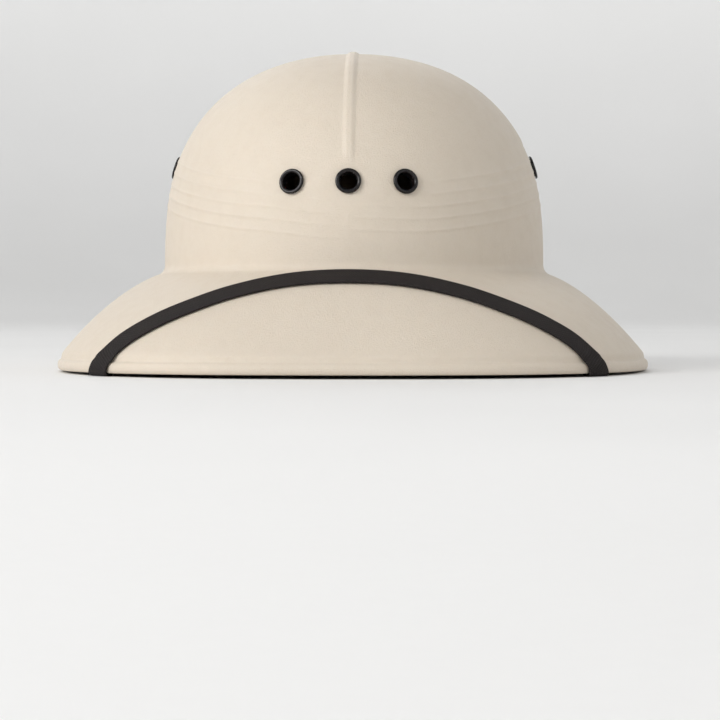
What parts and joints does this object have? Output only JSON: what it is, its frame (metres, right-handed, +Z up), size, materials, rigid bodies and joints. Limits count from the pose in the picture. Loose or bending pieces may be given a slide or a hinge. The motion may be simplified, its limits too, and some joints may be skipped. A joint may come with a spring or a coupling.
{
  "type": "pith helmet",
  "caption": "Domed sun helmet with a wide falling brim, vent eyelets, moulded pleat ribs, a webbing chin strap over the front brim and an inner headband.",
  "frame": {"origin": "centre of the helmet's box on the plane that its rim rests on", "axes": "+Z up, front of the helmet towards -Y, +X to the helmet's side"},
  "size_m": [0.288, 0.329, 0.1569],
  "materials": {
    "khaki_plastic": "satin moulded plastic with a fine cloth-like grain",
    "black_lacquer": "gloss black lacquered metal",
    "black_webbing": "woven webbing",
    "black_plastic": "plain",
    "dark_gloss_plastic": "glossy sheet plastic",
    "brown_leatherette": "grained leatherette",
    "black_tape": "woven binding tape"
  },
  "bodies": {
    "root": {"helmet_shell": "khaki_plastic", "eyelet_front_left": "black_lacquer", "eyelet_front_centre": "black_lacquer", "eyelet_front_right": "black_lacquer", "eyelet_side_left": "black_lacquer", "eyelet_side_right": "black_lacquer", "eyelet_back_left": "black_lacquer", "eyelet_back_centre": "black_lacquer", "eyelet_back_right": "black_lacquer", "chin_strap": "black_webbing", "strap_pin_left": "black_plastic", "strap_pin_right": "black_plastic", "headband_hoop": "dark_gloss_plastic", "sweatband": "brown_leatherette", "sweatband_lower_binding": "black_tape", "sweatband_upper_binding": "black_tape", "headband_clip_front": "black_plastic", "headband_clip_right": "black_plastic", "headband_clip_back": "black_plastic", "headband_clip_left": "black_plastic"}
  },
  "joints": []
}
